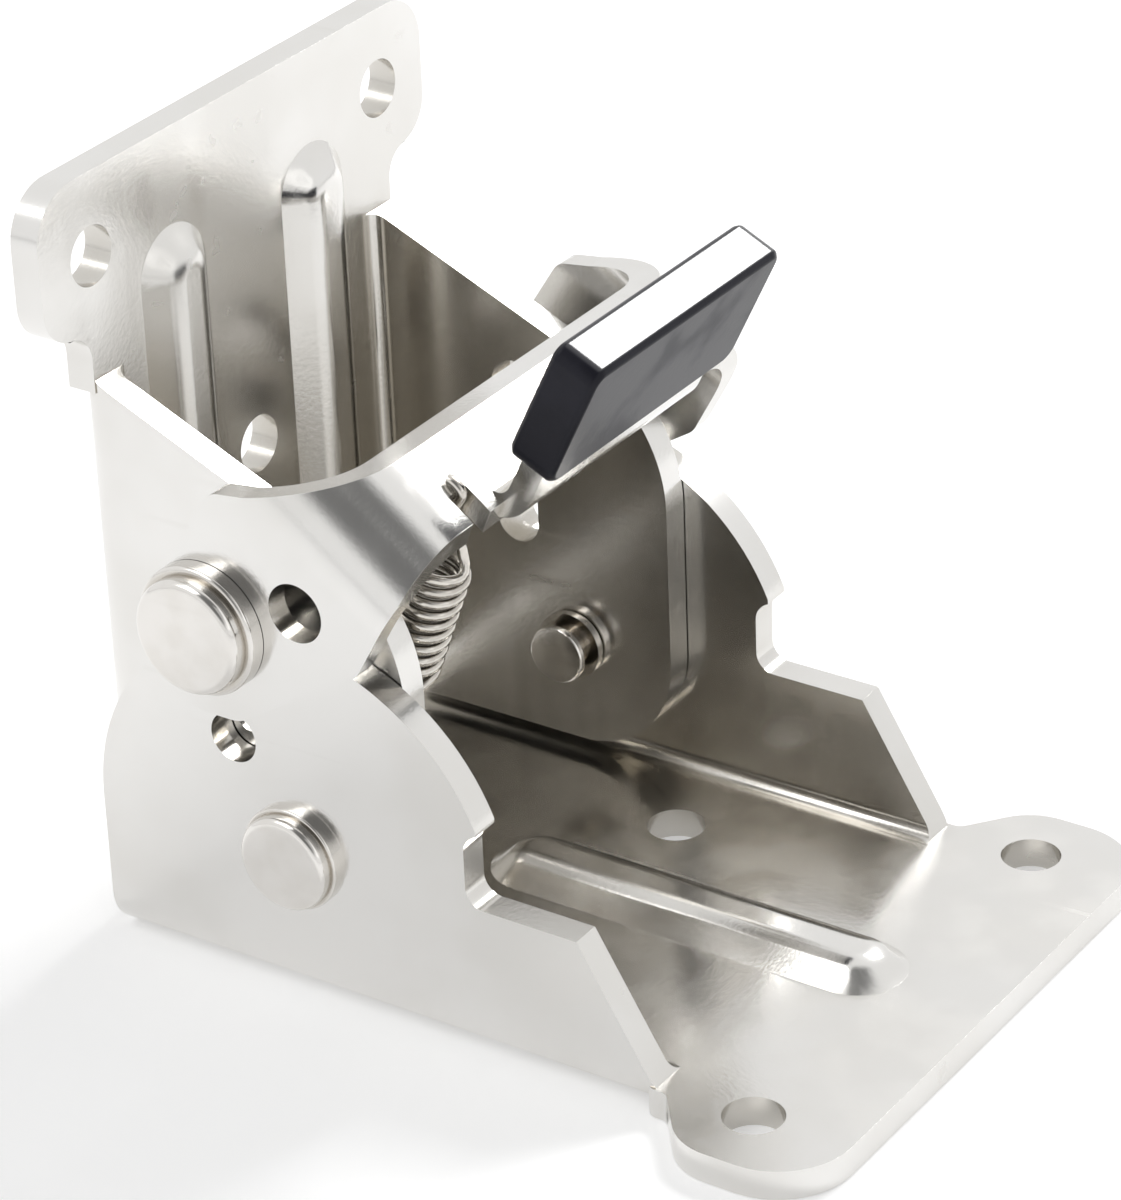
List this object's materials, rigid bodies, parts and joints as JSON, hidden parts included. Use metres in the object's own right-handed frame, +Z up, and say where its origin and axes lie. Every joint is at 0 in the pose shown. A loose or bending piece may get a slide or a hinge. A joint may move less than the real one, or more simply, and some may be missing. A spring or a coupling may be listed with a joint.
{
  "type": "folding table leg bracket",
  "caption": "Folding bracket for a table leg: two riveted sheet metal channels turn a quarter turn, with a sprung lever and lock pins.",
  "frame": {"origin": "middle of the table bracket's two ear screws, on its underside", "axes": "+Z up from the table bracket's underside, +X away from the leg bracket's plate, +Y across the bracket"},
  "size_m": [0.0689, 0.054, 0.064],
  "materials": {
    "table_bracket": "bright nickel plate",
    "leg_bracket": "bright nickel plate",
    "rivets": "bright nickel plate",
    "lock_rivets": "bright nickel plate",
    "lock_lever": "bright nickel plate",
    "lever_grip": "dark blue-grey gloss sleeve",
    "lever_spring": "plated spring wire"
  },
  "bodies": {
    "table_side": {"table_bracket": "table_bracket", "pivot_rivet_near": "rivets", "pivot_rivet_far": "rivets"},
    "leg_side": {"leg_bracket": "leg_bracket", "lever_spring": "lever_spring"},
    "lock_pins": {"lock_rivet_near": "lock_rivets", "lock_rivet_far": "lock_rivets"},
    "lever": {"lock_lever": "lock_lever", "lever_grip": "lever_grip"}
  },
  "joints": [
    {"name": "fold", "type": "hinge", "parent": "table_side", "child": "leg_side", "pos_m": [-0.0402, 0, 0.0128], "axis": [0, 1, 0], "range_deg": [0, 90], "deforming": ["lever_spring"]},
    {"name": "lock_lift", "type": "slide", "parent": "leg_side", "child": "lock_pins", "axis": [0, 0, 1], "range_m": [-0.002, 0.0025], "stiffness_N_per_m": 1500, "deforming": ["lever_spring"]},
    {"name": "lever_tilt", "type": "hinge", "parent": "lock_pins", "child": "lever", "pos_m": [-0.0453, 0, 0.0325], "axis": [0, 1, 0], "range_deg": [-33, 0], "deforming": ["lever_spring"]}
  ],
  "couplings": [
    {"joint": "lever_tilt", "follows": "fold", "ratio": -0.36}
  ]
}
